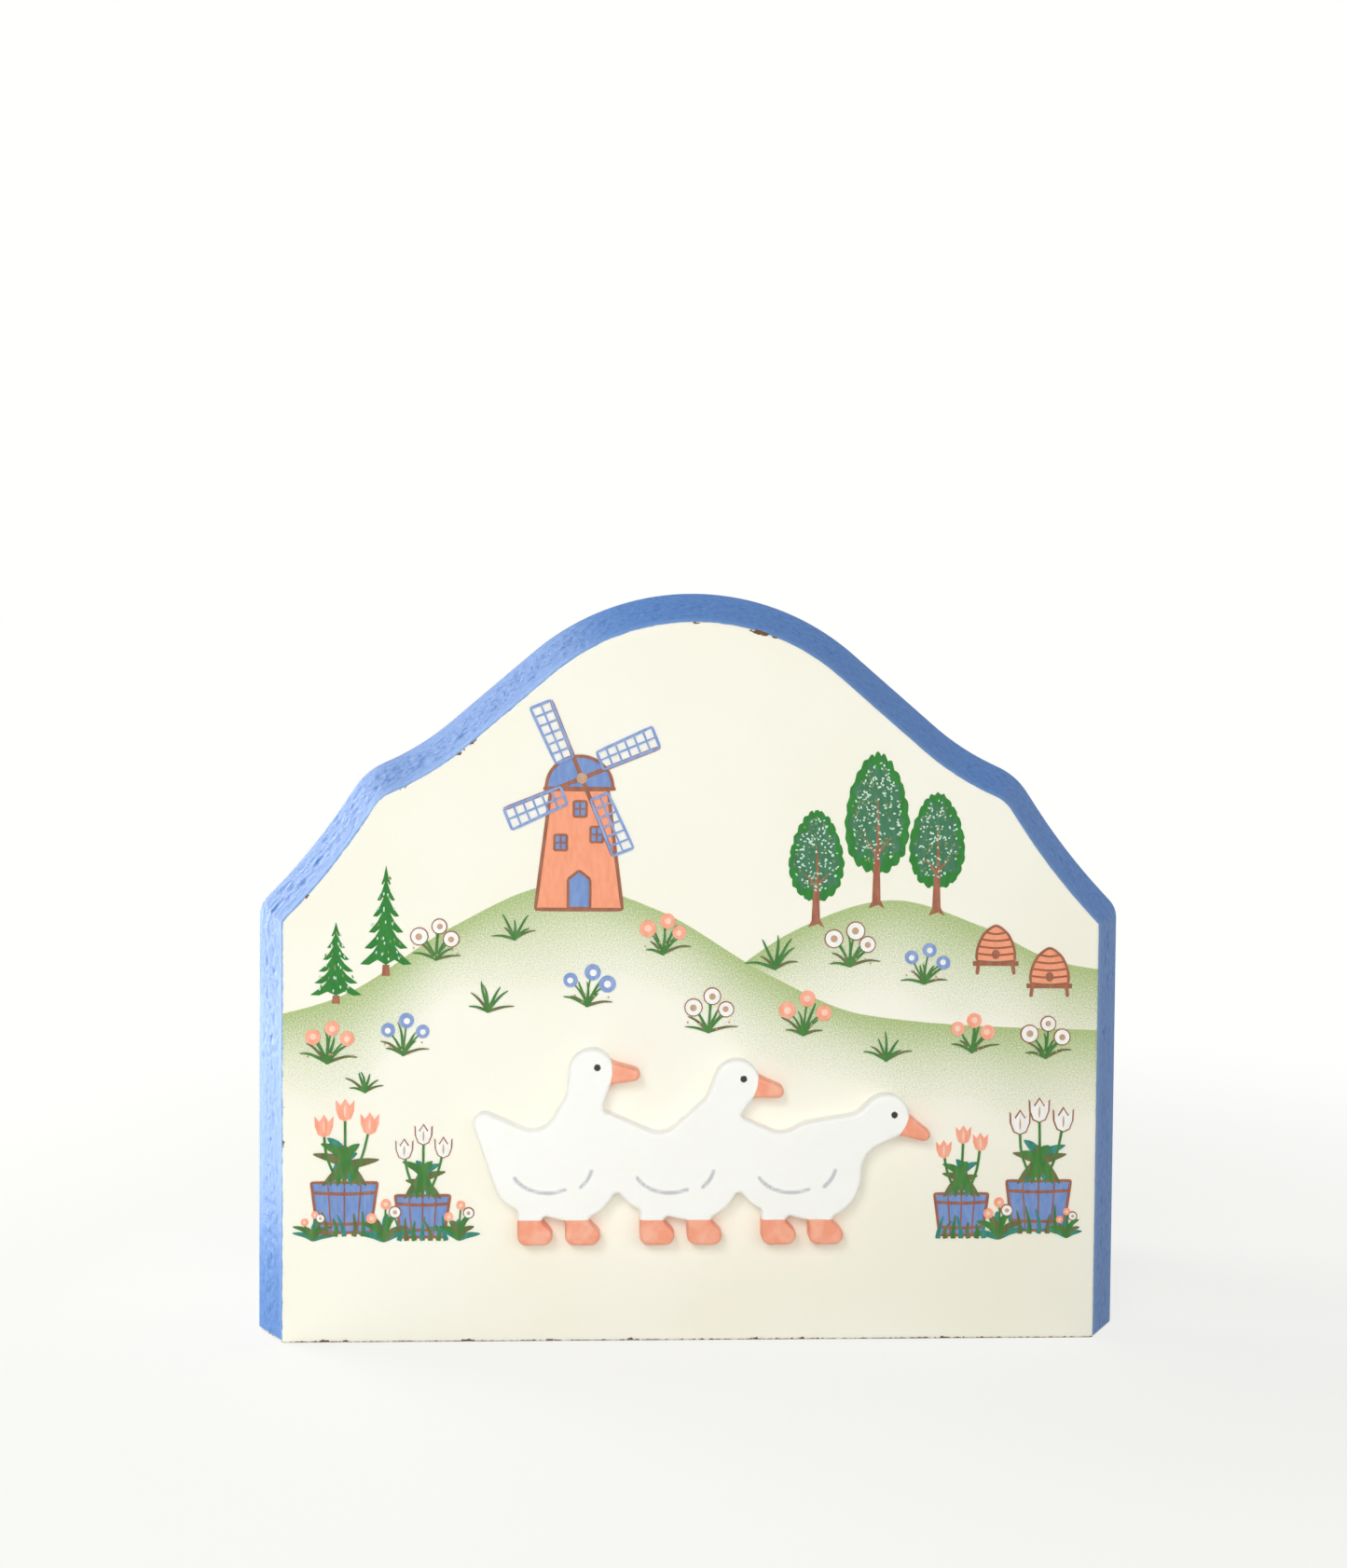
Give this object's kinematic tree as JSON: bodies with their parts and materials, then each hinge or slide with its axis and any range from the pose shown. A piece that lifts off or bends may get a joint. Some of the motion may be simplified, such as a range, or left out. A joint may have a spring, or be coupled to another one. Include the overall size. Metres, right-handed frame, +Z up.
{
  "type": "napkin holder",
  "caption": "Upright painted wooden napkin holder: shaped, bevelled panels on a base board with an open slot between them, and a flat geese cut-out glued to the front.",
  "frame": {"origin": "centre of the base board's underside, on the table", "axes": "+X to the right seen from the front, along the panels; +Y from the front panel to the back panel; +Z up"},
  "size_m": [0.152, 0.066, 0.1302],
  "materials": {
    "blue_edge_paint": "fibreboard, painted matt blue on the bevel",
    "cream_paint": "fibreboard, painted satin cream",
    "white_paint": "thin fibreboard, painted satin white",
    "beech": "bare beech",
    "coral_paint": "painted coral",
    "green_paint": "painted green",
    "brown_paint": "painted brown",
    "black_paint": "painted black",
    "grey_paint": "painted grey"
  },
  "bodies": {
    "root": {"front_panel": "blue_edge_paint", "back_panel": "blue_edge_paint", "base_board": "cream_paint", "geese_cutout": "white_paint", "dowel_front_left": "beech", "dowel_front_middle": "beech", "dowel_front_right": "beech", "dowel_back_left": "beech", "dowel_back_middle": "beech", "dowel_back_right": "beech"}
  },
  "joints": []
}
